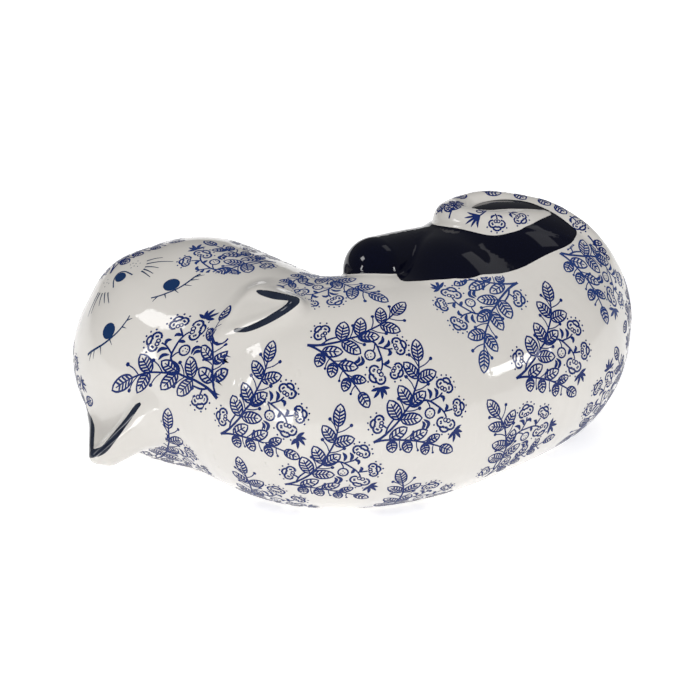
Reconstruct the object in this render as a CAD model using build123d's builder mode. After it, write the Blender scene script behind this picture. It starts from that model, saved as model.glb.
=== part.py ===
"""Glazed ceramic cat, lying curled on its left side with its face turned up.

Slip-cast pieces luted together: a hollow body, a hollow head that opens into it at the
neck, two ears, the hind leg with its paw, two tucked paws on the belly side, and a tail.
Millimetres, +Z up, head at -X, belly side at +Y, standing on z = 0.
"""
import os

from build123d import *

os.makedirs("parts", exist_ok=True)

# the cast wall, and how far the round body is cut away to make the flat foot
WALL = 5.0
SINK = 2.5
VENT_DIAMETER = 7.0

# where the middle of the foot lies in the coordinates used below
CENTRE = (1.75, 41.2, 0.0)

# round sections of the body along the back: x, y, radius
BACK = [(-72, 56, 55.0), (-30, 13, 57.0), (0, 7, 57.5), (27, 14, 57.0), (54, 32, 57.0), (79, 55, 58.5)]
RUMP = (81, 71, 59.5)
RUMP_RADIUS = 62.0

# the skull is two balls run together, with a low muzzle on the upturned face
CROWN = (-87, 49, 51.5)
CROWN_RADIUS = 52.5
NAPE = (-73, 57, 52.5)
NAPE_RADIUS = 55.0
MUZZLE = (-109, 60, 80)
MUZZLE_RADIUS = 16.0

# the neck seam leans, so that both ears stay on the head
NECK = (-60, 37, 55)
NECK_NORMAL = (0.707, -0.354, -0.612)

# ears: outer and inner end of the root, and the tip
LEFT_EAR = [(-126, 18, 32), (-102.5, -3, 51), (-126.5, -13, 27)]
RIGHT_EAR = [(-44, 4, 113), (-58.5, -10, 99), (-26, -11, 118)]
EAR_THICKNESS = 13.0
EAR_ROUND = 1.5
EAR_LIP = 3.0
EAR_POCKET = 4.0
EAR_TAPER = 18
EAR_ROOT_DEPTH = 12.0

# legs: centre, half length along x or z, half width
HAUNCH = (72, 66, 84)
HAUNCH_HALF_LENGTH = 55.0
HAUNCH_HALF_WIDTH = 39.0
HIND_PAW = (16, 50, 94)
HIND_PAW_HALF_HEIGHT = 23.0
HIND_PAW_HALF_WIDTH = 20.0
TUCKED_PAWS = {"left_hind_paw": (28, 66, 20), "right_fore_paw": (-22, 63, 68), "left_fore_paw": (-26, 68, 22)}
TUCKED_HALF_LENGTH = 24.0
TUCKED_HALF_WIDTH = 17.0

# the tail leaves the rump on the far side, climbs it and coils on the haunch: x, y, z, radius
TAIL = [(118, 95, 70, 15), (109, 101, 92, 13), (92, 101, 106, 11), (69, 96, 111.5, 10), (55, 89, 113.5, 10),
        (50, 78.5, 115, 10), (55, 68, 116.5, 9.5), (69, 62, 116.5, 9.5), (86, 64, 115.5, 8.5), (98, 71, 115, 6)]
TAIL_STATIONS = 18


def at(x, y, z):
    """A point of the model, moved so that the foot is centred on the origin."""
    return Vector(x, y, z) - Vector(*CENTRE)


def send(part, name):
    """Name a finished piece and write it out."""
    part.label = name
    export_step(part, f"parts/{name}.step")


def back_planes():
    """The plane of each round section, square to the line of the back."""
    line = Spline(*[at(x, y, r - SINK) for x, y, r in BACK], mode=Mode.PRIVATE)
    spots = [line.param_at_point(at(x, y, r - SINK)) for x, y, r in BACK]
    return [Plane(origin=line @ s, z_dir=line % s, x_dir=(0, 0, 1)) for s in spots]


def cast_form(shrink):
    """Body and skull as one smooth form, drawn in by the given amount all round."""
    with BuildPart() as form:
        for (x, y, radius), plane in zip(BACK, back_planes()):
            with BuildSketch(plane):
                Circle(radius - shrink)
        loft()
        last_x, last_y, last_radius = BACK[-1]
        hip = (last_x, last_y, last_radius - SINK)
        for centre, radius in ((hip, last_radius), (RUMP, RUMP_RADIUS), (CROWN, CROWN_RADIUS),
                               (NAPE, NAPE_RADIUS), (MUZZLE, MUZZLE_RADIUS)):
            with Locations(at(*centre)):
                Sphere(radius - shrink)
        with Locations((0, 0, shrink)):
            Box(400, 300, 200, align=(Align.CENTER, Align.CENTER, Align.MIN), mode=Mode.INTERSECT)
    return form.part


def egg(centre, half_length, half_width, axis):
    """A solid egg, turned about the given axis."""
    with BuildPart() as solid:
        with BuildSketch(Plane.XZ):
            Ellipse(half_width, half_length)
            split(bisect_by=Plane.YZ)
        revolve(axis=Axis.Z)
    lie = Plane(origin=at(*centre), z_dir=axis)
    return lie.location * solid.part


def tail_radius(line, along):
    """How thick the tail is at a place along its centre line, 0 at the root and 1 at the tip."""
    knots = [line.param_at_point(at(x, y, z)) for x, y, z, radius in TAIL]
    for (*_, near), (*_, far), start, end in zip(TAIL, TAIL[1:], knots, knots[1:]):
        if along <= end:
            return near + (far - near) * (along - start) / (end - start)
    return TAIL[-1][3]


def ear_plane(root_out, root_in, tip):
    """The plane of the ear's rim, its normal on the open side."""
    a, b, c = at(*root_out), at(*root_in), at(*tip)
    normal = (b - a).cross(c - a).normalized()
    if normal.Z < 0:
        normal = -normal
    middle = (a + b) * 0.5
    return Plane(origin=middle, x_dir=(c - middle), z_dir=normal)


def ear(points):
    """A three-cornered ear standing on its root, scooped out on its open side."""
    plane = ear_plane(*points)
    corners = [plane.to_local_coords(at(*p)) for p in points]
    root_out, root_in, tip = [(c.X, c.Y) for c in corners]
    deep_out = (root_out[0] - EAR_ROOT_DEPTH, root_out[1])
    deep_in = (root_in[0] - EAR_ROOT_DEPTH, root_in[1])
    with BuildPart() as blade:
        with BuildSketch(plane):
            with BuildLine():
                Polyline(deep_out, root_out, tip, root_in, deep_in, close=True)
            make_face()
            offset(amount=EAR_ROUND)
        extrude(amount=-EAR_THICKNESS, taper=EAR_TAPER)
        with BuildSketch(plane):
            with BuildLine():
                Polyline(deep_out, root_out, tip, root_in, deep_in, close=True)
            make_face()
            offset(amount=EAR_ROUND - EAR_LIP)
        extrude(amount=-EAR_POCKET, taper=EAR_TAPER, mode=Mode.SUBTRACT)
    return blade.part


outer = cast_form(0)
cavity = cast_form(WALL)
haunch_form = egg(HAUNCH, HAUNCH_HALF_LENGTH, HAUNCH_HALF_WIDTH, (1, 0, 0))
paw_form = egg(HIND_PAW, HIND_PAW_HALF_HEIGHT, HIND_PAW_HALF_WIDTH, (0, 0, 1))
tucked_forms = {n: egg(c, TUCKED_HALF_LENGTH, TUCKED_HALF_WIDTH, (1, 0, 0)) for n, c in TUCKED_PAWS.items()}
left_ear_form = ear(LEFT_EAR)
right_ear_form = ear(RIGHT_EAR)
neck_plane = Plane(origin=at(*NECK), z_dir=NECK_NORMAL)

with BuildPart() as tail_form:
    with BuildLine():
        centre_line = Spline(*[at(x, y, z) for x, y, z, radius in TAIL])
    side = Vector(0, 1, 0)
    for i in range(TAIL_STATIONS + 1):
        along = i / TAIL_STATIONS
        ahead = (centre_line % along).normalized()
        side = (side - ahead * side.dot(ahead)).normalized()
        with BuildSketch(Plane(origin=centre_line @ along, x_dir=side, z_dir=ahead)):
            Circle(tail_radius(centre_line, along))
    loft(ruled=True)
    for x, y, z, radius in (TAIL[0], TAIL[-1]):
        with Locations(at(x, y, z)):
            Sphere(radius)

with BuildPart() as body_shell:
    add(outer)
    split(bisect_by=neck_plane, keep=Keep.TOP)
    add(cavity, mode=Mode.SUBTRACT)
    add(haunch_form, mode=Mode.SUBTRACT)
    add(paw_form, mode=Mode.SUBTRACT)
    add(tail_form.part, mode=Mode.SUBTRACT)
    for form in tucked_forms.values():
        add(form, mode=Mode.SUBTRACT)
    add(left_ear_form, mode=Mode.SUBTRACT)
    add(right_ear_form, mode=Mode.SUBTRACT)
    with Locations(at(14, 10, 0)):
        Cylinder(VENT_DIAMETER / 2, 3 * WALL, mode=Mode.SUBTRACT)
send(body_shell.part, "body_shell")

with BuildPart() as head_shell:
    add(outer)
    split(bisect_by=neck_plane, keep=Keep.BOTTOM)
    add(cavity, mode=Mode.SUBTRACT)
    for form in tucked_forms.values():
        add(form, mode=Mode.SUBTRACT)
    add(left_ear_form, mode=Mode.SUBTRACT)
    add(right_ear_form, mode=Mode.SUBTRACT)
send(head_shell.part, "head_shell")

for name, form in (("left_ear", left_ear_form), ("right_ear", right_ear_form)):
    with BuildPart() as blade:
        add(form)
        add(cavity, mode=Mode.SUBTRACT)
    send(blade.part, name)

with BuildPart() as tail:
    add(tail_form.part)
    add(cavity, mode=Mode.SUBTRACT)
send(tail.part, "tail")

with BuildPart() as right_hind_leg:
    add(haunch_form)
    add(cavity, mode=Mode.SUBTRACT)
    add(tail_form.part, mode=Mode.SUBTRACT)
send(right_hind_leg.part, "right_hind_leg")

with BuildPart() as right_hind_paw:
    add(paw_form)
    add(cavity, mode=Mode.SUBTRACT)
    add(haunch_form, mode=Mode.SUBTRACT)
send(right_hind_paw.part, "right_hind_paw")

for name, form in tucked_forms.items():
    with BuildPart() as paw:
        add(form)
        add(cavity, mode=Mode.SUBTRACT)
    send(paw.part, name)
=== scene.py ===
"""Glazed ceramic cat, lying curled on its left side: printed sprigs, painted face, navy legs."""

import math

import bpy
import numpy as np
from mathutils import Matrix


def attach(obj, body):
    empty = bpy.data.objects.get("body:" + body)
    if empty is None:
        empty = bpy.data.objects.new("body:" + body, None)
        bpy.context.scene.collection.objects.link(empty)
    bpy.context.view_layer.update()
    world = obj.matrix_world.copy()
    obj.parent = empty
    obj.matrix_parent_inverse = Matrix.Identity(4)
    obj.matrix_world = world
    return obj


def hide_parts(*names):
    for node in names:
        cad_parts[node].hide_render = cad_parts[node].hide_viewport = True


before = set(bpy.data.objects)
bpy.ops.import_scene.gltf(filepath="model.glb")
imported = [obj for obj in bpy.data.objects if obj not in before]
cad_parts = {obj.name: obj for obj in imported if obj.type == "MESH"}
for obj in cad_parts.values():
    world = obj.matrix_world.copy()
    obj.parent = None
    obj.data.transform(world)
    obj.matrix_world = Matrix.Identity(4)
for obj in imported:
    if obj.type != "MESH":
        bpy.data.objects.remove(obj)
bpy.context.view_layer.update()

# ---------------------------------------------------------------- sizes, all in mm
MM = 0.001
# the point of the numbers below that stands on the frame's origin
MIDDLE = np.array([1.75, 41.2, 0.0])
# spacing of the surface's mesh, the room that it is looked for in, and the wall behind it
STEP = 1.55
ROOM = ((-148, -60, -6), (152, 144, 138))
WALL = 3.0

# the body's line along the back, x, y, z, radius, and the round of the skull
BACK = [(-72, 56, 52.5, 55), (-30, 13, 54.5, 57), (0, 7, 55, 57.5), (27, 14, 54.5, 57), (54, 32, 54.5, 57),
        (79, 55, 56, 58.5), (81, 71, 59.5, 62)]
CROWN = (-87, 49, 51.5)
CROWN_RADIUS = 52.5
CROWN_BLEND = 14

# the head's own axes: from its left ear to its right, and out of the face
SKULL = np.array([-82.0, 50.0, 52.0])
RIGHTWARD = np.array([0.78, 0.22, 0.58])
FORWARD = np.array([-0.547, -0.215, 0.81])

# swellings run into the body: middle, half sizes, width of the fillet; the face's are in the head's axes
MUZZLE = ((0, 39, -19), (16, 13, 13), 10)
NOSE = ((0, 44, -4), (5, 8.5, 13), 9)
PAW_REST = ((12, 21, 97), (18, 13, 15), 6)

# the seam between head and body
NECK = np.array([-60.0, 37.0, 55.0])
NECK_NORMAL = np.array([0.707, -0.354, -0.612])

# ears: outer end and inner end of the root, tip
LEFT_EAR = [(-129.3, 18.5, 33.5), (-104.5, -2, 53), (-129.3, -11, 29)]
RIGHT_EAR = [(-44, 4, 113), (-58.5, -10, 99), (-26, -11, 118)]

# the tail from where it leaves the rump to its tip: x, y, z, radius
TAIL = [(128, 72, 84, 9), (123, 71, 95, 9), (114.5, 73, 106.5, 8), (101, 82, 112.3, 7.5), (88, 89, 113, 7.5),
        (69, 93, 113, 8), (57, 87, 113.2, 8.3), (51.3, 76, 114.6, 9.6), (55, 67, 116, 10),
        (69, 61, 116.2, 10), (82, 64, 115.8, 9), (91, 69, 115.8, 6.5), (97, 73, 116, 4)]

# the thigh and its rounded front end beside the paw: middle and half sizes
THIGH = ((72, 66, 81.5), (55, 38, 40))
KNEE = ((50, 45, 98), (28.5, 31, 22))
KNEE_FILLET = 6

# the hind paw from its toes back to the hock: x, y, z, radius
HIND_PAW = [(13, 38, 107, 16.5), (26, 52, 101.5, 17.5), (40, 64, 95, 20)]

# a tucked paw and one of its toes: half sizes, then how far out the toes sit and how far apart
TUCKED_PAW = (24, 17, 17)
TOE = (10, 5.2, 9)
TOE_REACH = 17
TOE_SPACING = 7.5
TOE_FILLET = 2.5

# fillets where pieces meet: ears and thigh, paws and tail, and the edge of the flat foot
WIDE_FILLET = 8
LUTED_FILLET = 2
FOOT_ROUND = 1.5

# how much deeper a point lies in the ear's form than in the body's where the ear's seam runs
EAR_SEAM = 1.0

# the painted edge of the navy thigh on the near side, in plan, where it starts and ends along x, how low and
# how far from the thigh the paint reaches, and its edge under the tail
NAVY_EDGE = [(-4, 44), (10, 36), (21, 31), (24.5, 19), (32, 18), (41, 18), (50, 18.5), (61, 22), (75, 28),
             (90, 37), (104, 48), (110, 55), (113, 62), (113.6, 70)]
NAVY_START = -4
NAVY_END = 113.6
NAVY_BOTTOM = 98
NAVY_REACH = 30
NAVY_FAR_EDGE = [(40, 84), (57, 87), (69, 93), (88, 89), (101, 82), (114.5, 73), (123, 71)]

# dark bands round the ears: points along each, with half the band's width
LEFT_BAND = [(-130.5, 22, 34.5, 1.2), (-129.8, 16, 33, 2.0), (-128.8, 9.5, 32, 2.2),
             (-128.8, 4.5, 31.5, 2.2), (-128.8, -4, 30, 2.3), (-128.2, -9.5, 29.8, 2.4),
             (-127, -11, 30.5, 2.3), (-122, -11.5, 32.5, 2.0), (-117, -9.5, 38, 1.8),
             (-111, -6.5, 45, 1.6), (-105.5, -4.5, 52.5, 1.4), (-103, -4.5, 55, 0.9)]
RIGHT_BAND = [(-55.5, -13, 101.5, 1.1), (-49.5, -14.5, 103, 1.4), (-41.5, -14.5, 107, 1.7),
              (-33.5, -13, 111.5, 2.0), (-28, -12, 116, 2.4), (-26.5, -10.5, 117.5, 2.5),
              (-29.5, -8, 117.5, 2.2), (-36.5, -2.5, 115.5, 2.4), (-42.5, 2, 114.5, 1.9),
              (-45, 4.5, 113.5, 0.8)]

# where the printed sprigs lie on the side that is seen most: middle and which way they grow, how much one
# is drawn out along its stem, and how far up its stem it is kept
WHOLE = 60
SPRIGS = [((-86, -7, 77), (-0.8, 0.4, -0.48), 1.33, WHOLE), ((-88, -2, 26), (-0.2, -0.4, 0.9), 1, WHOLE),
          ((-45, -39, 76), (0.1, 0.4, 0.9), 1, WHOLE), ((7, -24, 103), (0.6, 0.7, 0.4), 1, WHOLE),
          ((-10, -50, 49), (0.1, -0.1, 1), 1, WHOLE), ((32, -41, 77), (0, 0.4, 0.9), 1, WHOLE),
          ((-45, -28, 17), (-0.5, -0.5, 0.7), 1, WHOLE), ((26, -31, 16), (-0.1, -0.7, 0.7), 1, WHOLE),
          ((66, 3, 102), (0.1, -0.9, -0.5), 1, WHOLE), ((98, 5, 85), (0, 0.6, 0.8), 1, WHOLE),
          ((79, -19, 42), (-0.3, -0.5, 0.8), 1, WHOLE), ((125, 58, 101), (0.4, 0.9, 0.1), 1, WHOLE),
          ((127, 29, 33), (-0.6, -0.5, -0.6), 1, WHOLE), ((-62, 35, 109), (-0.3, -0.9, -0.1), 1, 24),
          ((-8, 15, 112), (0.9, -0.4, 0.1), 1, WHOLE), ((-111, 80, 91), (-0.2, 0.6, -0.7), 1, WHOLE),
          ((-138, 49, 40), (-0.1, 0.8, 0.6), 1, WHOLE)]
PALE_SPRIGS = (8, 11, 13, 14)
# of the sprigs placed by chance, one in this many is pale
PALE_EVERY = 3

# sprigs placed by chance: how many places are tried, and at each the least distance from its middle to
# another sprig and to the table or a blank place, the least gap between two sprigs and to the face, and
# the least share of the sprig that is so far or farther from a blank place
SPRIG_TRIES = 1500
SPRIG_ROOM = 13
SPRIG_CLEAR = 8
SPRIG_GAP = 4.0
FACE_GAP = 3
SPRIG_SHARE = 0.5
SPRIG_MARGIN = 1

# the painted face's middle and reach, in the head's axes, which no sprig placed by chance comes into
FACE_MIDDLE = (0.5, 3)
FACE_REACH = 34
FACE_SQUASH = 1.2
FACE_DEPTH = 20
# how far in front of the skull's middle the face is drawn before it is sent onto the glaze
FACE_START = 75

# the tail's own print: what, where, and which way it grows
TAIL_PRINT = [("fern", (51.5, 70, 125), (0.33, 0.94, -0.06)),
              ("plume", (63, 58.5, 125.5), (-0.88, -0.37, -0.3)),
              ("bloom", (73, 55.5, 124), (0.02, -0.83, -0.56)),
              ("bloom", (84, 61, 124), (0.79, -0.48, -0.38)),
              ("leaflet", (72.5, 93, 121), (1, -0.04, -0.03)),
              ("leaflet", (86, 90, 120.5), (0.63, -0.78, 0.04)),
              ("leaflet", (98, 84.5, 120.5), (0.65, -0.76, -0.03)),
              ("leaflet", (106, 79, 119), (0.68, -0.7, -0.21)),
              ("bloom", (114.5, 71.5, 115), (0.66, -0.62, -0.43)),
              ("fern", (122.5, 66, 102), (0.5, -0.3, -0.8)),
              ("leaflet", (56, 88, 122), (0.5, 0.8, 0)),
              ("leaflet", (46, 74, 122), (-0.2, 0.9, -0.2)),
              ("bloom", (62, 99, 117), (0.4, 0.6, -0.6)),
              ("fern", (80, 97, 116), (0.9, 0, -0.2)),
              ("bloom", (96, 92, 114), (0.8, 0, -0.4)),
              ("leaflet", (110, 84, 110), (0.8, -0.2, -0.5))]

# the bare foot: height of the glaze's edge, then the vent hole's x, y and radius, and the height that its cut
# stays below
FOOT_EDGE = 0.3
VENT = (14, 10, 3.5)
VENT_TOP = 8

# how proud of the glaze the ink is, the least distance from it to a blank place, and how far over the
# tail's own edge the tail's ink may lie
PRINT_LIFT = 0.06
PRINT_MARGIN = 0.9
TAIL_MARGIN = 1.2
# radii that the print is bent to before it settles on the surface
BODY_BEND = 56.0
TAIL_BEND = 14


# ---------------------------------------------------------------- distances
def unit(v):
    """A vector's direction."""
    v = np.asarray(v, float)
    return v / np.linalg.norm(v)


FORWARD = unit(FORWARD)
RIGHTWARD = unit(RIGHTWARD - FORWARD * (RIGHTWARD @ FORWARD))
UPWARD = np.cross(RIGHTWARD, FORWARD)
UPWARD = UPWARD * -np.sign(UPWARD[1])


def on_head(right, forward, up):
    """A point given in the head's own axes."""
    return SKULL + right * RIGHTWARD + forward * FORWARD + up * UPWARD


def join(a, b, k):
    """The smooth union of two distances, with a fillet about k wide."""
    h = np.maximum(k - np.abs(a - b), 0) / k
    return np.minimum(a, b) - h * h * k / 4


def carve(a, b, k):
    """What is in a and not in b, with a rounded edge."""
    return -join(-a, b, k)


def ball(p, centre, radius):
    """Distance to a ball."""
    return np.linalg.norm(p - np.asarray(centre, float), axis=1) - radius


def egg(p, centre, radii, axes=None):
    """Distance to an egg with the given half sizes, along the given axes where it doesn't lie square."""
    q = p - np.asarray(centre, float)
    if axes is not None:
        q = q @ np.array(axes).T
    r = np.asarray(radii, float)
    k0 = np.linalg.norm(q / r, axis=1)
    k1 = np.linalg.norm(q / r**2, axis=1)
    return k0 * (k0 - 1) / np.maximum(k1, 1e-9)


def spline(knots, u):
    """A smooth line through knots, for u from 0 to their count less one; each row may hold a radius too."""
    p = np.array(knots, float)
    p = np.vstack([2 * p[0] - p[1], p, 2 * p[-1] - p[-2]])
    i = np.clip(u.astype(int), 0, len(knots) - 2)
    t = (u - i)[:, None]
    a, b, c, d = p[i], p[i + 1], p[i + 2], p[i + 3]
    bend = 2 * a - 5 * b + 4 * c - d
    twist = 3 * b - a - 3 * c + d
    return 0.5 * (2 * b + (c - a) * t + bend * t**2 + twist * t**3)


def tube(p, knots, per_span=6):
    """Distance to a round tube of changing thickness."""
    u = np.linspace(0, len(knots) - 1, (len(knots) - 1) * per_span + 1)
    line = spline(knots, u)
    best = np.full(len(p), 1e9)
    where = np.zeros(len(p))
    for i in range(len(line) - 1):
        a, b = line[i], line[i + 1]
        ab = b[:3] - a[:3]
        t = np.clip(((p - a[:3]) @ ab) / (ab @ ab), 0, 1)
        d = np.linalg.norm(p - a[:3] - t[:, None] * ab, axis=1) - (a[3] + t * (b[3] - a[3]))
        closer = d < best
        best[closer] = d[closer]
        where[closer] = u[i] + t[closer] * (u[1] - u[0])
    q = spline(knots, where)
    return np.linalg.norm(p - q[:, :3], axis=1) - q[:, 3]


def slab(p, corners, radii):
    """Distance to a three-cornered pad, its thickness set at each corner."""
    a, b, c = corners
    ra, rb, rc = radii
    best = np.full(len(p), 1e9)
    for start, end, r0, r1 in ((a, b, ra, rb), (b, c, rb, rc), (c, a, rc, ra)):
        side = end - start
        k = np.clip(((p - start) @ side) / (side @ side), 0, 1)
        best = np.minimum(best, np.linalg.norm(p - start - k[:, None] * side, axis=1) - r0 - k * (r1 - r0))
    n = unit(np.cross(b - a, c - a))
    ab, ac, q = b - a, c - a, p - a
    # how far each point lies towards b and towards c, as shares of the two sides
    size = (ab @ ab) * (ac @ ac) - (ab @ ac)**2
    v = ((ac @ ac) * (q @ ab) - (ab @ ac) * (q @ ac)) / size
    w = ((ab @ ab) * (q @ ac) - (ab @ ac) * (q @ ab)) / size
    inside = (v >= 0) & (w >= 0) & (v + w <= 1)
    face = np.abs(q @ n) - ra - v * (rb - ra) - w * (rc - ra)
    return np.where(inside, np.minimum(best, face), best)


def close_to(p, centre, reach, shape):
    """A shape's distance, worked out only for the points within reach of it."""
    away = np.linalg.norm(p - np.asarray(centre, float), axis=1)
    # the rest are only told that they are well outside it
    d = away - reach * 0.8
    near = away < reach
    if near.any():
        d[near] = shape(p[near])
    return d


# ---------------------------------------------------------------- the cat
def ear_frame(points):
    """An ear's corners, the normal of its open side, and the way from its root to its tip."""
    a, b, c = [np.array(x, float) for x in points]
    n = unit(np.cross(b - a, c - a))
    n = n * np.sign(n[2])
    return a, b, c, n, unit(c - (a + b) / 2)


def pad(p, points, back, inset, radii, pinch=0.0):
    """A pad along an ear: how far behind its rim and inside its outline it lies, and how thick it is, at
    root and tip."""
    a, b, c, n, out = ear_frame(points)
    side = pinch * unit(b - a)
    root_a = a + side - back[0] * n - inset[0] * out
    root_b = b - side - back[0] * n - inset[0] * out
    tip = c - back[1] * n - inset[1] * out
    return slab(p, (root_a, root_b, tip), (radii[0], radii[0], radii[1]))


def ear(p, points):
    """Two pads run together, a thin one at the rim and a full one behind it."""
    front = pad(p, points, back=(6, 4), inset=(3, 3), radii=(6.5, 4.0))
    full = pad(p, points, back=(15, 10), inset=(4, 8), radii=(11, 6.0))
    return join(front, full, 6)


def hollow_ear(p, points):
    """An ear scooped out on its open side."""
    pocket = pad(p, points, back=(-5.6, -3.6), inset=(1, 9.5), radii=(6.5, 5.0), pinch=7)
    return carve(ear(p, points), pocket, 3)


def body(p):
    """Body and head in one, without the ears and limbs."""
    d = join(tube(p, BACK), ball(p, CROWN, CROWN_RADIUS), CROWN_BLEND)
    for middle, half_sizes, fillet in (MUZZLE, NOSE):
        d = join(d, egg(p, on_head(*middle), half_sizes, (RIGHTWARD, FORWARD, UPWARD)), fillet)
    middle, half_sizes, fillet = PAW_REST
    return join(d, egg(p, middle, half_sizes), fillet)


def haunch(p):
    """The thigh, and its rounded front end beside the paw."""
    return join(egg(p, *THIGH), egg(p, *KNEE), KNEE_FILLET)


def hind_paw(p):
    """The paw, thickening back along the hock until it goes under the thigh."""
    return tube(p, HIND_PAW)


def navy_paint(p):
    """Negative where the thigh's glaze runs out over the body on the near side."""
    edge = spline(NAVY_EDGE, np.linspace(0, len(NAVY_EDGE) - 1, 60))
    line = np.interp(p[:, 0], edge[:, 0], edge[:, 1])
    far_line = np.interp(p[:, 0], *np.transpose(NAVY_FAR_EDGE))
    near = np.maximum.reduce([0.8 * (line - p[:, 1]), p[:, 1] - far_line, p[:, 0] - NAVY_END,
                              NAVY_START - p[:, 0], NAVY_BOTTOM - p[:, 2]])
    return np.maximum(near, haunch(p) - NAVY_REACH)


def tucked(p, centre, turn):
    """A paw folded under the belly, three toes at its end."""
    a = math.radians(turn)
    axes = ((math.cos(a), math.sin(a), 0), (-math.sin(a), math.cos(a), 0), (0, 0, 1))
    d = egg(p, centre, TUCKED_PAW, axes)
    for side in (-1, 0, 1):
        toe = np.array(centre) + TOE_REACH * np.array(axes[0]) + side * TOE_SPACING * np.array(axes[1])
        d = join(d, egg(p, toe, TOE, axes), TOE_FILLET)
    return d


LIMBS = {
    "right_hind_leg": haunch,
    "right_hind_paw": hind_paw,
    "left_hind_paw": lambda p: tucked(p, (28, 66, 20), 180),
    "right_fore_paw": lambda p: tucked(p, (-22, 63, 68), 20),
    "left_fore_paw": lambda p: tucked(p, (-26, 68, 22), 10),
}
EARS = {"left_ear": LEFT_EAR, "right_ear": RIGHT_EAR}
BANDS = {"left_ear_band": LEFT_BAND, "right_ear_band": RIGHT_BAND}
# how far round the tail, an ear or a band its exact distance is worked out
TAIL_MIDDLE = (85, 82, 95)
TAIL_ROOM = 75
EAR_ROOM = 60
BAND_ROOM = 50


def tail(p):
    """Distance to the coiled tail."""
    return close_to(p, TAIL_MIDDLE, TAIL_ROOM, lambda q: tube(q, TAIL))


def ear_near(p, points, shape):
    """Distance to one ear, whole or hollow."""
    return close_to(p, np.mean(np.array(points, float), axis=0), EAR_ROOM, lambda q: shape(q, points))


def band_near(p, band):
    """Distance to the line of paint round one ear."""
    return close_to(p, np.mean([knot[:3] for knot in band], axis=0), BAND_ROOM, lambda q: tube(q, band))


def form(p):
    """The whole figure: negative inside, about the distance in mm near the surface."""
    d = body(p)
    for points in EARS.values():
        d = join(d, ear_near(p, points, hollow_ear), WIDE_FILLET)
    d = join(d, haunch(p), WIDE_FILLET)
    for name, shape in LIMBS.items():
        if name != "right_hind_leg":
            d = join(d, shape(p), LUTED_FILLET)
    d = join(d, tail(p), LUTED_FILLET)
    return carve(d, p[:, 2], FOOT_ROUND)


def slope(shape, p, h=0.15):
    """The outward direction at each point."""
    g = np.stack([shape(p + h * e) - shape(p - h * e) for e in np.eye(3)], 1)
    return g / np.maximum(np.linalg.norm(g, axis=1, keepdims=True), 1e-9)


def settle(p, shape, rounds=2):
    """Points moved onto a surface."""
    for _ in range(rounds):
        p = p - shape(p)[:, None] * slope(shape, p)
    return p


# ---------------------------------------------------------------- drawing on the surface
def onto(p, shape, way, rounds=40):
    """Points sent along a straight way until they meet a surface."""
    for _ in range(rounds):
        p = p + np.clip(shape(p), -2, 12)[:, None] * 0.85 * way
    return p


def on_face(flat):
    """Face coordinates, right and up in mm, as points on the glaze."""
    p = SKULL + flat[:, :1] * RIGHTWARD + flat[:, 1:] * UPWARD + FACE_START * FORWARD
    return settle(onto(p, form, -FORWARD), form, 1)


def wrapped(flat, centre, heading, bend=BODY_BEND):
    """A flat drawing laid over the surface round a centre, bending about as much as the surface does."""
    c = settle(np.array([centre], float), form)[0]
    # outward, then the way along the surface that is nearest to the heading
    n = slope(form, c[None])[0]
    up = unit(np.asarray(heading, float) - n * (np.asarray(heading, float) @ n))
    right = np.cross(up, n)
    r = np.maximum(np.linalg.norm(flat, axis=1), 1e-6)
    along = (flat[:, :1] * right + flat[:, 1:] * up) / r[:, None]
    p = c + bend * np.sin(r / bend)[:, None] * along - bend * (1 - np.cos(r / bend))[:, None] * n
    return settle(p, form, 3)


def curve(knots, step=1.2):
    """A flat line through knots, evenly sampled."""
    k = np.array(knots, float)
    if len(k) == 2:
        k = np.array([k[0], (k[0] + k[1]) / 2, k[1]])
    line = spline(k, np.linspace(0, len(k) - 1, 12 * (len(k) - 1) + 1))
    run = np.concatenate([[0], np.cumsum(np.linalg.norm(np.diff(line, axis=0), axis=1))])
    at = np.linspace(0, run[-1], max(2, int(np.ceil(run[-1] / step))) + 1)
    return np.stack([np.interp(at, run, line[:, 0]), np.interp(at, run, line[:, 1])], 1)


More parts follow.
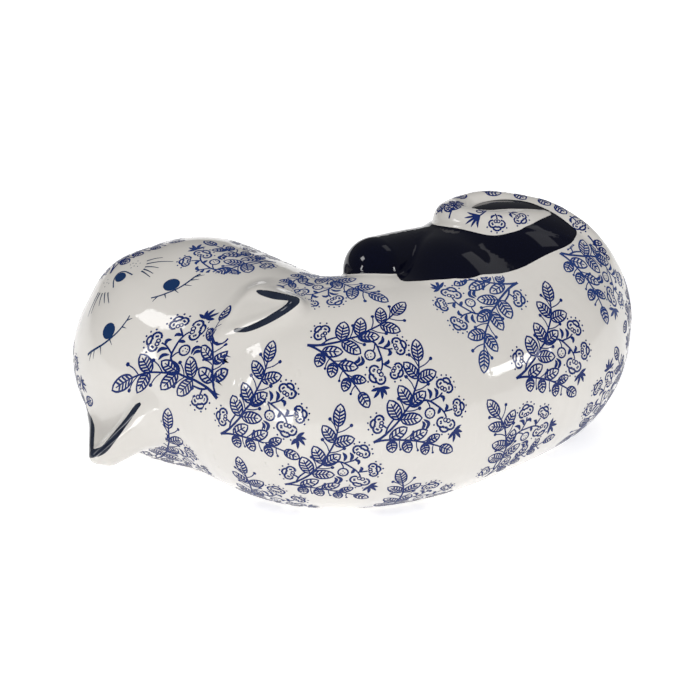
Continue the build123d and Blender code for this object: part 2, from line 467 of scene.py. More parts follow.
class Drawing:
    """Flat strokes, each a strip of quads whose width changes along it, all times one weight."""

    def __init__(self, weight):
        self.points, self.quads, self.count = [], [], 0
        self.weight = weight

    def strip(self, line, width, lanes=1, closed=False):
        """One stroke along a line, with its full width at every point."""
        width = np.broadcast_to(np.asarray(width, float) * self.weight, (len(line),))
        if closed:
            ahead = np.roll(line, -1, 0) - np.roll(line, 1, 0)
        else:
            ahead = np.gradient(line, axis=0)
        ahead = ahead / np.maximum(np.linalg.norm(ahead, axis=1, keepdims=True), 1e-9)
        side = np.stack([-ahead[:, 1], ahead[:, 0]], 1)
        across = np.linspace(0.5, -0.5, lanes + 1)
        grid = line[:, None] + side[:, None] * (width[:, None] * across)[..., None]
        rows = len(line) if closed else len(line) - 1
        i, j = np.meshgrid(np.arange(rows), np.arange(lanes), indexing="ij")
        k = (i + 1) % len(line)
        a, b = i * (lanes + 1) + j, k * (lanes + 1) + j
        self.quads.append(np.stack([a, a + 1, b + 1, b], -1).reshape(-1, 4) + self.count)
        self.points.append(grid.reshape(-1, 2))
        self.count += grid.shape[0] * grid.shape[1]

    def line(self, knots, start, end=None, step=1.2):
        """A brush line, from one width to another."""
        path = curve(knots, step)
        end = start if end is None else end
        self.strip(path, np.linspace(start, end, len(path)))

    def blade(self, knots, width, step=0.8):
        """A stroke that swells in the middle and is pointed at both ends."""
        path = curve(knots, step)
        self.strip(path, 0.12 + width * np.sin(np.linspace(0, np.pi, len(path))) ** 0.8)

    def dot(self, centre, radius, lanes=1, stretch=1.0, turn=0.0):
        """A filled round spot, or an oval one."""
        t = np.linspace(-0.97, 0.97, 5 if lanes == 1 else 2 * lanes + 3)
        way = np.array([math.cos(turn), math.sin(turn)])
        line = np.asarray(centre, float) + radius * stretch * t[:, None] * way
        self.strip(line, 2 * radius / self.weight * np.sqrt(1 - t**2), lanes)

    def ring(self, centre, radius, width, count=12):
        """A circle drawn as a line."""
        a = np.linspace(0, 2 * np.pi, count, endpoint=False)
        line = np.asarray(centre, float) + radius * np.stack([np.cos(a), np.sin(a)], 1)
        self.strip(line, width, closed=True)

    def arc(self, centre, radius, start, end, width):
        """Part of a ring, from one bearing to another in degrees."""
        a = np.radians(np.linspace(start, end, max(4, int(abs(end - start) * radius / 60))))
        line = np.asarray(centre, float) + radius * np.stack([np.cos(a), np.sin(a)], 1)
        self.strip(line, width)

    def mesh(self):
        """All the strokes, as points and the quads between them."""
        return np.concatenate(self.points), np.concatenate(self.quads)


# how heavily each drawing is inked: its widths are all times this
SPRIG_WEIGHT = 1.4
TAIL_WEIGHT = 1.25
FACE_WEIGHT = 1.3
LASH_WEIGHT = 1.5

# the width of a plain line of the print, a leaf's half width as a share of its width, and the middle of the
# sprig's drawing
LINE = 0.64
FULLNESS = 0.56
SPRIG_MIDDLE = np.array([20, 19])


def leaf(ink, base, tip, width, veins=4):
    """An outlined leaf with a midrib and slanting veins."""
    base, tip = np.array(base, float), np.array(tip, float)
    along, length = unit(tip - base), np.linalg.norm(tip - base)
    side = np.array([-along[1], along[0]])
    t = np.concatenate([np.linspace(0, 1, 10), np.linspace(1, 0, 10)[1:-1]])
    half = FULLNESS * width * np.sin(np.pi * t**0.9) ** 0.6
    half[10:] *= -1
    ink.strip(base + t[:, None] * length * along + half[:, None] * side, LINE, closed=True)
    ink.line([base, base + 0.82 * length * along], 0.55, 0.4)
    for k in range(veins):
        root = 0.14 + 0.62 * k / veins
        reach = FULLNESS * width * math.sin(math.pi * (root + 0.12) ** 0.9) ** 0.6 * 0.9
        start = base + root * length * along
        for way in (-1, 1):
            end = start + 0.15 * length * along + way * reach * side
            ink.strip(np.array([start, (start + end) / 2, end]), [0.52, 0.68, 0.52])


def pin(ink, base, tip, dot=0.95):
    """A thin stamen with a round head."""
    bend = (np.array(base) + np.array(tip)) / 2 + 0.07 * np.array([tip[1] - base[1], base[0] - tip[0]])
    ink.line([base, bend, tip], 0.42)
    ink.dot(tip, dot)


def flower(ink, centre, size, turn, dots=5):
    """Three round petals over two small beads, with dots beyond them; turn is where it faces, in degrees."""
    def spot(bearing, reach):
        """A place on the flower, by its bearing and its distance in sizes."""
        a = math.radians(turn + bearing)
        return np.array(centre) + reach * size * np.array([math.cos(a), math.sin(a)])

    for bearing, reach, radius, half in ((68, 0.95, 0.84, 118), (0, 0.95, 0.92, 82), (-68, 0.95, 0.84, 118)):
        petal = spot(bearing, reach)
        ink.arc(petal, radius * size, turn + bearing - half, turn + bearing + half, 1.2 * LINE)
        out = unit(petal - centre)
        for k in (-0.16, 0.16):
            mark = petal + k * size * np.array([-out[1], out[0]]) + 0.1 * size * out
            ink.strip(np.array([mark - 0.2 * size * out, mark + 0.2 * size * out]), 0.6)
    for bearing in (125, -125):
        ink.ring(spot(bearing, 0.36), 0.34 * size, 0.5, 9)
    for k in range(dots):
        ink.dot(spot(-62 + 124 * k / (dots - 1), 2.35), 0.5)


def fern(ink):
    """A small upright spray of leaves."""
    ink.line([(0, -9), (0.8, 0), (0, 8)], 0.8, 0.5)
    for y, way in ((-4.5, -1), (-3.5, 1), (0, -1), (1, 1), (4, -1), (5, 1)):
        leaf(ink, (0.4, y), (way * 4.2, y + 3.6), 2.6, 2)
    leaf(ink, (0, 7.4), (0, 12), 2.8, 2)


def leaflet(ink):
    """One leaf and its stamen."""
    ink.line([(-1.4, -6), (-0.6, -4)], 0.6)
    leaf(ink, (0, -4), (0, 4), 4.6, 3)
    pin(ink, (-0.8, -5), (-4, -1.5), 0.6)


def bloom(ink):
    """One flower on a short stalk."""
    ink.line([(0.5, -6), (0, -3.6), (0, -1.6)], 0.6)
    ink.blade([(0.2, -4.6), (2, -4), (3, -2)], 1.0)
    ink.blade([(0, -4.6), (-2, -4), (-2.8, -2.2)], 1.0)
    flower(ink, (0, 0), 2.4, 90, 5)


def plume(ink):
    """A fan of five plumes on a curved stalk."""
    for x, y in ((-5.6, 2.6), (-3.2, 5.4), (0, 6.8), (3.2, 5.4), (5.6, 2.6)):
        ink.blade([(0, -2), (0.5 * x, 0.4 * y), (x, y)], 1.0)
    ink.line([(0, -1.6), (0.8, -4), (3, -7), (6, -9)], 0.8, 0.6)
    ink.ring((3.6, -3.6), 1.7, LINE, 9)
    ink.blade([(2.6, -7), (4.4, -4.6), (6.6, -4.2)], 1.1)


TAIL_KINDS = {"fern": fern, "leaflet": leaflet, "bloom": bloom, "plume": plume}


def leafy_stem(ink):
    """The sprig's upright stem from its foot, its leaves and their stamens."""
    ink.line([(-0.4, -0.3), (3, 1.9), (5.3, 3.7)], 1.0, 0.9)
    ink.line([(5.2, 3.5), (6.3, 7.6), (9.2, 11.8)], 0.75, 0.6)
    ink.line([(5.2, 3.5), (8.4, 6.9), (11.9, 11), (14.4, 15), (17.2, 18.7), (18.6, 23.2), (21.1, 29.8),
              (22.1, 35), (22.5, 39.6)], 0.85, 0.6)
    for base, tip, width in (((11.5, 11.2), (6.6, 20.6), 5.8), ((12.4, 11), (23.2, 11.6), 5.2),
                             ((17.2, 18.4), (11.5, 27.6), 5.2), ((17, 17.6), (24.8, 24.4), 5),
                             ((21.6, 31), (14.8, 38.9), 4.8), ((21.2, 30.2), (30.9, 33.6), 5.2),
                             ((22.5, 39.2), (22.6, 50.3), 5.2)):
        leaf(ink, base, tip, width)
    for base, tip in (((22, 36.6), (18, 42.6)), ((22.2, 36), (28.9, 40.2)), ((19.4, 25.4), (15.4, 31.8)),
                      ((19.6, 25), (26.4, 28)), ((14.2, 15), (11.2, 21.4)), ((14.8, 15.2), (21.8, 16.4))):
        pin(ink, base, tip)


def low_branch(ink):
    """The sprig's low branch of smaller leaves."""
    ink.line([(0, 0), (4, 0.7), (8, 0.9), (14, 0.6), (20, 0), (26, -1.3), (31, -2.6), (35, -3.8)], 0.85, 0.55)
    for base, tip, width in (((7.5, 1.3), (15.8, 7), 4.8), ((18, 0.8), (26.4, 5.2), 4.4),
                             ((27, -1), (33.4, 2.6), 3.6), ((8.2, 0.4), (9.8, -6), 4.6),
                             ((15.6, 0.1), (18.4, -6.4), 4.4), ((25.6, -1.8), (27.6, -8), 4),
                             ((34.6, -3.8), (42.4, -6.6), 4.6)):
        leaf(ink, base, tip, width, 3)
    for base, tip in (((15.2, 0.9), (19.2, 4.8)), ((22.6, -0.6), (28.2, 0.4)), ((12.6, 0.3), (13.6, -4.6)),
                      ((21.4, -0.6), (22.8, -5.4)), ((30.6, -2.8), (31.2, -7))):
        pin(ink, base, tip, 0.7)


def flower_spray(ink):
    """The sprig's flowers on their stalks, with a berry, a tuft and loose blades among them."""
    ink.line([(17.6, 17.2), (20.5, 18.4), (24.2, 20.2), (27, 19.7), (29.8, 18), (33, 15.8), (35.1, 13.4),
              (36, 11.4)], 0.8, 0.6)
    ink.line([(27, 19.6), (30, 20.8), (32, 21.8), (33.6, 23.6)], 0.6)
    ink.line([(34.6, 14.4), (36.8, 14.8), (39.2, 15.4)], 0.6)
    ink.line([(25.4, 20), (26.8, 17.8), (27, 16.4)], 0.5)
    ink.line([(3.8, 8.4), (5.7, 7)], 0.6)
    flower(ink, (34.5, 25.8), 2.6, 62, 6)
    flower(ink, (41, 15.9), 2.4, 12)
    flower(ink, (36.3, 9.4), 2.9, -105)
    flower(ink, (2.4, 8.9), 2.6, 172)
    ink.ring((27.2, 13.8), 2.5, LINE)
    for spot in ((26.2, 13), (28, 13.4), (27.1, 14.6), (27.2, 12.4)):
        ink.dot(spot, 0.35)
    for reach in ((44.8, 7.6), (45.8, 4), (45.2, 0.8), (41.6, -1.6), (38.4, 0.2)):
        ink.blade([(41, 4.6), (0.5 * (41 + reach[0]) + 0.3, 0.5 * (4.6 + reach[1]) + 0.3), reach], 1.1)
    for knots in (((25.8, 25.8), (27.5, 23.5), (26.9, 20.6)), ((29.3, 26), (30.8, 23.9), (29.9, 21)),
                  ((32, 22), (34.2, 21.2), (34, 19)), ((31.9, 16.4), (32.2, 15), (31.2, 13.2)),
                  ((35.4, 18), (36.2, 16.6), (35, 14.6)), ((24, 10.9), (26.8, 8.8), (25.4, 5)),
                  ((23.4, 10), (24.6, 8.2), (23.4, 5.4))):
        ink.blade(knots, 1.15)


def sprig():
    """One printed sprig: a leafy stem, a low leafy branch and a spray of flowers, about its own middle."""
    ink = Drawing(SPRIG_WEIGHT)
    leafy_stem(ink)
    low_branch(ink)
    flower_spray(ink)
    flat, quads = ink.mesh()
    return flat - SPRIG_MIDDLE, quads


# ---------------------------------------------------------------- surface of the form
def sampled(shape, low, high, step, block=12):
    """The shape's values on a grid; blocks far from the surface are only given a sign."""
    low = np.array(low, float)
    count = np.ceil((np.array(high) - low) / step / block).astype(int)
    values = np.ones(tuple(count * block + 1), np.float32)
    ids = np.stack(np.meshgrid(*[np.arange(c) for c in count], indexing="ij"), -1).reshape(-1, 3)
    middle = shape(low + (ids + 0.5) * block * step)
    reach = block * step * 1.1 + 3
    for i in ids[middle < -reach] * block:
        values[i[0]:i[0] + block + 1, i[1]:i[1] + block + 1, i[2]:i[2] + block + 1] = -1
    corner = np.stack(np.meshgrid(*[np.arange(block + 1)] * 3, indexing="ij"), -1).reshape(-1, 3)
    live = ids[np.abs(middle) <= reach]
    for start in range(0, len(live), 300):
        at = (live[start:start + 300, None] * block + corner[None]).reshape(-1, 3)
        values[at[:, 0], at[:, 1], at[:, 2]] = shape(low + at * step)
    return values, low


def skin(values, low, step):
    """Surface nets: one vertex in each cell that the surface crosses, one quad for each crossed edge."""
    inside = values < 0
    cells = np.array(values.shape) - 1
    total = np.zeros(tuple(cells) + (3,), np.float32)
    hits = np.zeros(tuple(cells), np.int16)
    quads = []
    for axis in range(3):
        a = tuple(slice(0, -1) if k == axis else slice(None) for k in range(3))
        b = tuple(slice(1, None) if k == axis else slice(None) for k in range(3))
        crossed = inside[a] != inside[b]
        at = np.argwhere(crossed)
        place = at.astype(np.float32)
        place[:, axis] += values[a][crossed] / (values[a][crossed] - values[b][crossed])
        u, w = [k for k in range(3) if k != axis]
        ring = []
        for du, dw in ((0, 0), (-1, 0), (-1, -1), (0, -1)):
            cell = at.copy()
            cell[:, u] += du
            cell[:, w] += dw
            ok = (cell >= 0).all(1) & (cell < cells).all(1)
            key = tuple(cell[ok].T)
            np.add.at(total, key, place[ok])
            np.add.at(hits, key, 1)
            ring.append(cell)
        quad = np.stack(ring, 1)
        turn = inside[a][crossed] if axis != 1 else ~inside[a][crossed]
        quad[~turn] = quad[~turn][:, ::-1]
        quads.append(quad[(at[:, u] > 0) & (at[:, w] > 0)])
    number = -np.ones(tuple(cells), np.int64)
    live = hits > 0
    number[live] = np.arange(live.sum())
    points = total[live] / hits[live][:, None] * step + low
    quads = np.concatenate(quads)
    return points.astype(float), number[quads[..., 0], quads[..., 1], quads[..., 2]]


def part_along(points, tris, value):
    """Triangles cut along the line where value is nought: all points, those below, those above."""
    low = value[tris] < 0
    below = tris[low.all(1)]
    above = tris[~low.any(1)]
    split = low.any(1) & ~low.all(1)
    mixed, low = tris[split], low[split]
    # turn each so that its odd corner comes first
    odd_low = low.sum(1) == 1
    odd = np.where(odd_low, np.argmax(low, 1), np.argmin(low, 1))
    rows = np.arange(len(mixed))[:, None]
    mixed = mixed[rows, (odd[:, None] + np.arange(3)) % 3]
    ends = np.sort(np.concatenate([mixed[:, [0, 1]], mixed[:, [0, 2]]]), 1)
    edges, index = np.unique(ends, axis=0, return_inverse=True)
    index = index.reshape(-1)
    va, vb = value[edges[:, 0]], value[edges[:, 1]]
    t = np.clip(va / (va - vb), 0.02, 0.98)[:, None]
    fresh = points[edges[:, 0]] * (1 - t) + points[edges[:, 1]] * t
    n = len(points)
    p, q = index[:len(mixed)] + n, index[len(mixed):] + n
    tip = np.stack([mixed[:, 0], p, q], 1)
    rest = np.concatenate([np.stack([p, mixed[:, 1], mixed[:, 2]], 1), np.stack([p, mixed[:, 2], q], 1)])
    low_rest = np.concatenate([~odd_low, ~odd_low])
    below = np.concatenate([below, tip[odd_low], rest[low_rest]])
    above = np.concatenate([above, tip[~odd_low], rest[~low_rest]])
    return np.concatenate([points, fresh]), below, above


def build(name, points, faces, normals):
    """A mesh object in metres, with the given normals."""
    used, back = np.unique(np.concatenate([np.asarray(f).reshape(-1) for f in faces]), return_inverse=True)
    mesh = bpy.data.meshes.new(name)
    counts = np.concatenate([np.full(len(f), f.shape[1]) for f in faces])
    mesh.vertices.add(len(used))
    mesh.vertices.foreach_set("co", ((points[used] - MIDDLE) * MM).reshape(-1))
    mesh.loops.add(len(back))
    mesh.loops.foreach_set("vertex_index", back.reshape(-1).astype(np.int32))
    mesh.polygons.add(len(counts))
    starts = np.concatenate([[0], np.cumsum(counts)[:-1]])
    mesh.polygons.foreach_set("loop_start", starts.astype(np.int32))
    mesh.update(calc_edges=True)
    mesh.validate()
    mesh.polygons.foreach_set("use_smooth", np.ones(len(mesh.polygons), bool))
    mesh.normals_split_custom_set_from_vertices(normals[used])
    obj = bpy.data.objects.new(name, mesh)
    bpy.context.collection.objects.link(obj)
    return obj


def thick(points, tris, normals, depth):
    """A skin given a wall: an inner face and a rim along every open edge."""
    used, back = np.unique(tris, return_inverse=True)
    tris = back.reshape(-1, 3)
    outer, out = points[used], normals[used]
    n = len(used)
    inner = outer - depth * out
    edges = np.concatenate([tris[:, [0, 1]], tris[:, [1, 2]], tris[:, [2, 0]]])
    key = edges.min(1) * n + edges.max(1)
    _, first, times = np.unique(key, return_index=True, return_counts=True)
    rim = edges[first[times == 1]]
    walls = np.stack([rim[:, 1], rim[:, 0], rim[:, 0] + n, rim[:, 1] + n], 1)
    return np.concatenate([outer, inner]), [tris, tris[:, ::-1] + n, walls], np.concatenate([out, -out])


def cast():
    """The figure's skin: all its points, and the triangles of each piece."""
    values, low = sampled(form, *ROOM, STEP)
    points, quads = skin(values, low, STEP)
    tris = np.concatenate([quads[:, [0, 1, 2]], quads[:, [0, 2, 3]]])
    points = settle(points, form, 1)
    pieces = {}

    def rest_of(p, skip):
        """Distance to the body and every limb but one."""
        d = body(p)
        for name, shape in LIMBS.items():
            if name != skip:
                d = np.minimum(d, shape(p))
        return d

    def take(name, value):
        """Cut the triangles where value is below nought off what is left, as a piece of its own."""
        nonlocal points, tris
        points, mine, tris = part_along(points, tris, value)
        pieces[name] = mine

    take("tail", tail(points) - rest_of(points, None))
    for name, shape in LIMBS.items():
        value = shape(points) - rest_of(points, name)
        if name == "right_hind_leg":
            value = np.minimum(value, navy_paint(points))
        take(name, value)
    for name, band in BANDS.items():
        take(name, band_near(points, band))
    for name, corners in EARS.items():
        take(name, ear_near(points, corners, ear) - body(points) + EAR_SEAM)
    x, y, radius = VENT
    off_centre = np.hypot(points[:, 0] - x, points[:, 1] - y)
    take("vent_hole", np.maximum(off_centre - radius, points[:, 2] - VENT_TOP))
    pieces.pop("vent_hole")
    take("foot", points[:, 2] - FOOT_EDGE)
    take("head_shell", (points - NECK) @ NECK_NORMAL)
    pieces["body_shell"] = tris
    return points, pieces


points, pieces = cast()
normals = slope(form, points)


def blank(p):
    """How far a point is from anything without a print: the navy limbs, the ears, the tail, the foot."""
    d = np.minimum(navy_paint(p), p[:, 2] - FOOT_ROUND)
    for shape in LIMBS.values():
        d = np.minimum(d, shape(p))
    for corners in EARS.values():
        d = np.minimum(d, ear_near(p, corners, ear) - body(p) + EAR_SEAM)
    return np.minimum(d, tail(p))


# places within one sprig that have to stay clear of its neighbours
REACH = np.array([(0, 0), (-1, 9), (6, 20), (11, 27), (14, 38), (18, 42), (22.5, 50), (29, 40), (31, 33),
                  (27, 28), (35, 29), (44, 17), (46, 4), (40, -2), (42, -7), (28, -8), (18, -6), (9, -6),
                  (20, 8), (20, 20)]) - SPRIG_MIDDLE


def filled_in():
    """The listed sprigs, and more wherever another one fits: each as in SPRIGS."""
    rng = np.random.default_rng(7)
    chosen = list(SPRIGS)
    taken = [wrapped(REACH * (1, stretch), middle, heading) for middle, heading, stretch, _ in chosen]
    for _ in range(SPRIG_TRIES):
        start = points[rng.integers(len(points))]
        heading = unit(rng.normal(size=3))
        others = np.concatenate(taken)
        crowded = np.linalg.norm(others - start, axis=1).min() < SPRIG_ROOM
        if crowded or start[2] < SPRIG_CLEAR or blank(start[None])[0] < SPRIG_CLEAR:
            continue
        mine = wrapped(REACH, start, heading)
        gap = np.linalg.norm(mine[:, None] - others[None], axis=2).min()
        share = (blank(mine) > SPRIG_MARGIN).mean()
        if gap > SPRIG_GAP and share > SPRIG_SHARE and away_from_face(mine) > FACE_GAP:
            taken.append(mine)
            chosen.append((start, heading, 1, WHOLE))
    return chosen


def away_from_face(p):
    """How far the nearest of some points is from the painted face."""
    q = p - SKULL
    right, up = FACE_MIDDLE
    across = np.hypot(q @ RIGHTWARD - right, (q @ UPWARD - up) * FACE_SQUASH)
    return (across - FACE_REACH)[q @ FORWARD > FACE_DEPTH].min(initial=np.inf)


def printed():
    """All the sprigs as one mesh on the glaze, without what would fall on blank places, and which quads are
    pale."""
    flat, quads = sprig()
    chosen = filled_in()
    p = np.concatenate([wrapped(flat * (1, stretch), middle, heading)
                        for middle, heading, stretch, _ in chosen])
    q = np.concatenate([quads[(flat[quads, 1] < top - SPRIG_MIDDLE[1]).all(1)] + i * len(flat)
                        for i, (*_, top) in enumerate(chosen)])
    clear = blank(p) > PRINT_MARGIN
    q = q[clear[q].all(1)]
    number = q[:, 0] // len(flat)
    pale = np.isin(number, PALE_SPRIGS) | ((number >= len(SPRIGS)) & (number % PALE_EVERY == 0))
    return p, q, pale


def tail_printed():
    """The tail's small flowers and leaves, bent closely round it."""
    p, q, count = [], [], 0
    for kind, centre, heading in TAIL_PRINT:
        ink = Drawing(TAIL_WEIGHT)
        TAIL_KINDS[kind](ink)
        flat, quads = ink.mesh()
        p.append(wrapped(flat, centre, heading, TAIL_BEND))
        q.append(quads + count)
        count += len(flat)
    p, q = np.concatenate(p), np.concatenate(q)
    return p, q[(tail(p) < TAIL_MARGIN)[q].all(1)]


def painted_face():
    """Eyes, nose, lids and mouth, and apart from them lashes, whiskers and dots: right and up on the face."""
    ink, fine = Drawing(FACE_WEIGHT), Drawing(LASH_WEIGHT)
    # two eyes and the nose, then the lids and the mouth
    ink.dot((20.7, 15.9), 3.6, 6, 1.17, -0.1)
    ink.dot((-18, 15.2), 3.6, 6, 1.17, 0.2)
    ink.dot((1.1, -7.4), 3.0, 5, 1.25, 1.3)
    ink.line([(9, 17.4), (13, 18.8), (16.4, 19.4), (20.4, 19.9), (24.6, 19.6), (28.7, 18.4), (32.6, 16.7),
              (35, 16.2)], 0.5, 0.7)
    ink.line([(-35, 10), (-33, 11.2), (-28.9, 14.2), (-23.7, 17.3), (-17.6, 19.3), (-12.5, 19.9), (-7, 19.1),
              (-4.6, 18.2)], 0.8, 0.45)
    ink.line([(-4.6, -4.2), (-4, -6), (-2.4, -9.4), (0.8, -11.6), (4, -10), (5.6, -7), (6.9, -3.6)], 0.6, 0.6)
    # lashes, whiskers and dots
    for root, tip in (((12, 18.5), (8.6, 19.6)), ((15.6, 19.4), (14.9, 22)), ((20.8, 20), (21.4, 22.6)),
                      ((25.8, 19.4), (28.6, 22)), ((29.6, 18.2), (33.2, 19.6)), ((32.4, 17), (36.4, 17.8)),
                      ((-30, 13.4), (-33.6, 15)), ((-32, 12), (-36, 12.6)), ((-26, 16), (-28.6, 18.6)),
                      ((-20, 18.8), (-20.8, 21.6)), ((-11, 19.8), (-9.6, 22)), ((-7, 19.2), (-4.2, 20.4))):
        fine.line([root, tip], 0.5, 0.15)
    for root, tip in (((16.1, -9.4), (23.6, -6.2)), ((15.3, -6.8), (27, 0.3)), ((14, -4.8), (19.6, 1)),
                      ((12.9, -3.7), (16, 3.4)), ((11.6, -3), (13.9, 4.8)), ((-13.2, -13.2), (-24.4, -6)),
                      ((-12.5, -11.4), (-21.8, -4.8)), ((-11.3, -9.2), (-16, -3)),
                      ((-9.9, -7.5), (-12.7, -0.6)), ((-8.4, -5.1), (-10.5, 2.3))):
        middle = (0.5 * (root[0] + tip[0]), 0.5 * (root[1] + tip[1]) - 0.5)
        fine.line([root, middle, tip], 0.6, 0.25)
    for spot in ((8.1, -12.8), (9.6, -13.2), (12.2, -13.2), (10.8, -11.6), (12.7, -10.3), (7.8, -10),
                 (9.5, -10.4), (10.9, -8.6), (-5.4, -14.2), (-8.2, -15), (-6.6, -12.6), (-8.6, -11.6),
                 (-5.8, -10.6)):
        fine.dot(spot, 0.32)
    return ink.mesh(), fine.mesh()


# ---------------------------------------------------------------- materials
COAT_ROUGHNESS = 0.05
COAT_IOR = 1.5
RIPPLE_SCALE = 45
RIPPLE_STRENGTH = 0.10
RIPPLE_HEIGHT = 0.002


def noise_node(nodes, links, scale, detail=2.0):
    """Noise fixed to the piece."""
    place = nodes.new("ShaderNodeTexCoord")
    noise = nodes.new("ShaderNodeTexNoise")
    noise.inputs["Scale"].default_value = scale
    noise.inputs["Detail"].default_value = detail
    links.new(place.outputs["Object"], noise.inputs["Vector"])
    return noise


def wavy_coat(mat, weight):
    """Clear glaze over the colour, its surface very slightly uneven."""
    nodes, links = mat.node_tree.nodes, mat.node_tree.links
    shader = nodes["Principled BSDF"]
    shader.inputs["Coat Weight"].default_value = weight
    shader.inputs["Coat Roughness"].default_value = COAT_ROUGHNESS
    shader.inputs["Coat IOR"].default_value = COAT_IOR
    bump = nodes.new("ShaderNodeBump")
    bump.inputs["Strength"].default_value = RIPPLE_STRENGTH
    bump.inputs["Distance"].default_value = RIPPLE_HEIGHT
    links.new(noise_node(nodes, links, RIPPLE_SCALE).outputs["Fac"], bump.inputs["Height"])
    links.new(bump.outputs["Normal"], shader.inputs["Coat Normal"])


def ceramic(name, colour, second=None, scale=30, rough=0.4, specular=0.2, coat=1.0):
    """A ceramic surface: one colour, or two that drift into each other, under clear glaze or bare."""
    mat = bpy.data.materials.new(name)
    mat.use_nodes = True
    nodes, links = mat.node_tree.nodes, mat.node_tree.links
    shader = nodes["Principled BSDF"]
    shader.inputs["Base Color"].default_value = (*colour, 1)
    shader.inputs["Roughness"].default_value = rough
    shader.inputs["Specular IOR Level"].default_value = specular
    if second is not None:
        blend = nodes.new("ShaderNodeMix")
        blend.data_type = "RGBA"
        blend.inputs["A"].default_value = (*colour, 1)
        blend.inputs["B"].default_value = (*second, 1)
        links.new(noise_node(nodes, links, scale, 4).outputs["Fac"], blend.inputs["Factor"])
        links.new(blend.outputs["Result"], shader.inputs["Base Color"])
    if coat > 0:
        wavy_coat(mat, coat)
    return mat


WHITE = ceramic("printed_glaze", (0.72, 0.69, 0.645), (0.66, 0.635, 0.60), 22)
NAVY = ceramic("navy_glaze", (0.0010, 0.0013, 0.0060), (0.0020, 0.0028, 0.0120), 40, specular=0.0)
BAND = ceramic("ear_band_paint", (0.006, 0.009, 0.022), (0.030, 0.038, 0.060), 160, specular=0.0)
BARE = ceramic("unglazed_foot", (0.62, 0.57, 0.50), (0.52, 0.47, 0.41), 300, rough=0.9, coat=0)
PRINT = ceramic("blue_print", (0.012, 0.026, 0.13), specular=0.0, coat=0.45)
PALE_PRINT = ceramic("pale_blue_print", (0.026, 0.052, 0.18), specular=0.0, coat=0.45)
FACE = ceramic("face_paint", (0.010, 0.034, 0.11), specular=0.0, coat=0.6)
WHISKER = ceramic("whisker_paint", (0.030, 0.050, 0.105), specular=0.0, coat=0.6)


# ---------------------------------------------------------------- pieces
def add_piece(obj, material):
    """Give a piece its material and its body."""
    obj.data.materials.append(material)
    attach(obj, "root")
    return obj


for name, tris in pieces.items():
    navy = "paw" in name or "leg" in name
    band = "band" in name
    material = BAND if band else BARE if name == "foot" else NAVY if navy else WHITE
    title = "bare_foot" if name == "foot" else name + "_glazed"
    obj = add_piece(build(title, *thick(points, tris, normals, WALL)), material)
    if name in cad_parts:
        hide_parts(name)


def add_print(name, p, quads, material):
    """Ink lying on the glaze, a hair proud of it."""
    n = slope(form, p)
    return add_piece(build(name, p + PRINT_LIFT * n, [quads], n), material)


ink, ink_quads, pale = printed()
on_skull = ((ink[ink_quads].mean(1) - NECK) @ NECK_NORMAL) < 0
for where, chosen in (("head", on_skull), ("body", ~on_skull)):
    add_print(where + "_print", ink, ink_quads[chosen & ~pale], PRINT)
    add_print(where + "_pale_print", ink, ink_quads[chosen & pale], PALE_PRINT)
add_print("tail_print", *tail_printed(), PRINT)
(face_flat, face_quads), (fine_flat, fine_quads) = painted_face()
add_print("face_painting", on_face(face_flat), face_quads[:, ::-1], FACE)
add_print("whiskers_and_lashes", on_face(fine_flat), fine_quads[:, ::-1], WHISKER)

# ---------------------------------------------------------------- floor, light, camera
# from here on in metres
FLOOR_HALF = 3
LIGHTS_AIM = (0, 0, 0.05)
SCREEN_SIZE = (1.5, 1.1)
SKY_STRENGTH = 0.09
SKY_RISE = 0.02

floor_mesh = bpy.data.meshes.new("floor")
floor_mesh.from_pydata([(x * FLOOR_HALF, y * FLOOR_HALF, 0) for x, y in ((-1, -1), (1, -1), (1, 1), (-1, 1))],
                       [], [(0, 1, 2, 3)])
floor = bpy.data.objects.new("floor", floor_mesh)
bpy.context.collection.objects.link(floor)
floor_paint = bpy.data.materials.new("pale_floor")
floor_paint.use_nodes = True
paint = floor_paint.node_tree.nodes["Principled BSDF"]
paint.inputs["Base Color"].default_value = (0.88, 0.88, 0.88, 1)
paint.inputs["Roughness"].default_value = 0.9
paint.inputs["Emission Color"].default_value = (1, 1, 1, 1)
paint.inputs["Emission Strength"].default_value = 0.5
floor_mesh.materials.append(floor_paint)


def soft_light(name, place, size, power):
    """A lit rectangle turned towards the figure."""
    data = bpy.data.lights.new(name, "AREA")
    data.shape = "RECTANGLE"
    data.size, data.size_y = size
    data.energy = power
    lamp = bpy.data.objects.new(name, data)
    lamp.location = place
    away = np.array(place) - np.array(LIGHTS_AIM)
    tilt = math.acos(away[2] / np.linalg.norm(away))
    lamp.rotation_euler = (tilt, 0, math.atan2(away[1], away[0]) + math.pi / 2)
    bpy.context.collection.objects.link(lamp)
    return lamp


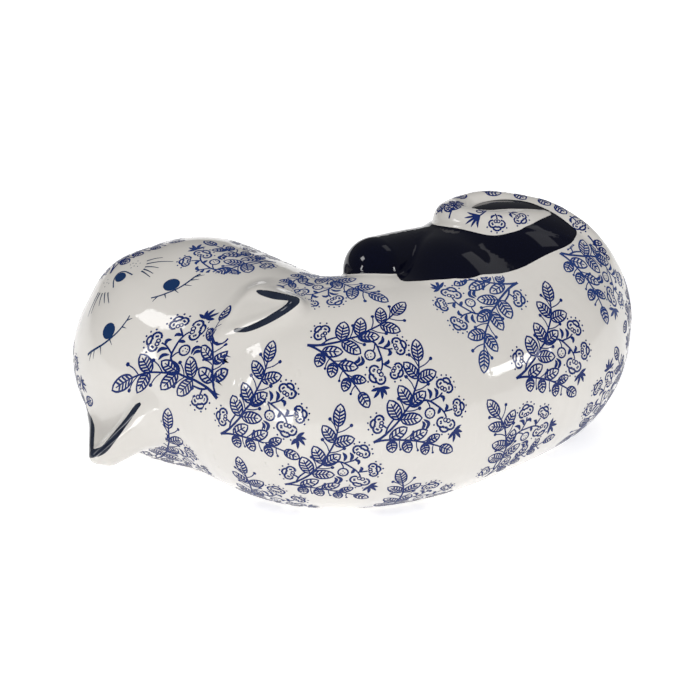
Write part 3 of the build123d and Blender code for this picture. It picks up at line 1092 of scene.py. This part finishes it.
# small windows that show in the glaze, the first of which only shows, and large screens that only light it
key = soft_light("key", (-0.70, -1.44, 0.12), (0.55, 0.45), 7)
key.visible_diffuse = False
soft_light("left", (-1.23, -0.77, 0.72), (0.14, 0.40), 1.6)
soft_light("high_left", (-1.07, -0.21, 1.22), (0.36, 0.28), 2.2)
soft_light("right", (1.42, -0.55, 0.52), (0.14, 0.20), 1.0)
soft_light("window", (0.67, 0.69, 1.30), (0.60, 0.40), 0.4)
for name, place, power in (("front_screen", (0, -1.5, 1.2), 18), ("left_screen", (-1.6, -0.6, 1.0), 5.5),
                           ("right_screen", (1.6, -0.4, 1.2), 8), ("back_screen", (0, 1.0, 1.6), 9)):
    screen = soft_light(name, place, SCREEN_SIZE, power)
    screen.visible_glossy = False

# a dim studio, a little brighter behind the figure
world = bpy.data.worlds.new("studio")
bpy.context.scene.world = world
world.use_nodes = True
nodes, links = world.node_tree.nodes, world.node_tree.links
sky = nodes.new("ShaderNodeTexCoord")
split = nodes.new("ShaderNodeSeparateXYZ")
links.new(sky.outputs["Generated"], split.inputs["Vector"])
back = nodes.new("ShaderNodeMath")
back.operation = "MULTIPLY_ADD"
back.inputs[1].default_value = SKY_RISE
back.inputs[2].default_value = SKY_STRENGTH
links.new(split.outputs["Y"], back.inputs[0])
links.new(back.outputs["Value"], nodes["Background"].inputs["Strength"])
nodes["Background"].inputs["Color"].default_value = (0.97, 0.98, 1.0, 1)

# the camera, as high above the table as the photo's, and how wide the picture is at the figure
ELEVATION = math.radians(30)
DISTANCE = 2.0
AIM = np.array([-0.00175, -0.0057, 0.0624])
PICTURE_WIDTH = 0.35
SENSOR = 36
camera_data = bpy.data.cameras.new("camera")
camera_data.sensor_width = SENSOR
camera_data.lens = SENSOR * DISTANCE / PICTURE_WIDTH
camera_data.clip_start = 0.05
camera = bpy.data.objects.new("camera", camera_data)
camera.location = AIM + DISTANCE * np.array([0, -math.cos(ELEVATION), math.sin(ELEVATION)])
camera.rotation_euler = (math.pi / 2 - ELEVATION, 0, 0)
bpy.context.collection.objects.link(camera)
bpy.context.scene.camera = camera
bpy.context.scene.view_settings.view_transform = "Standard"
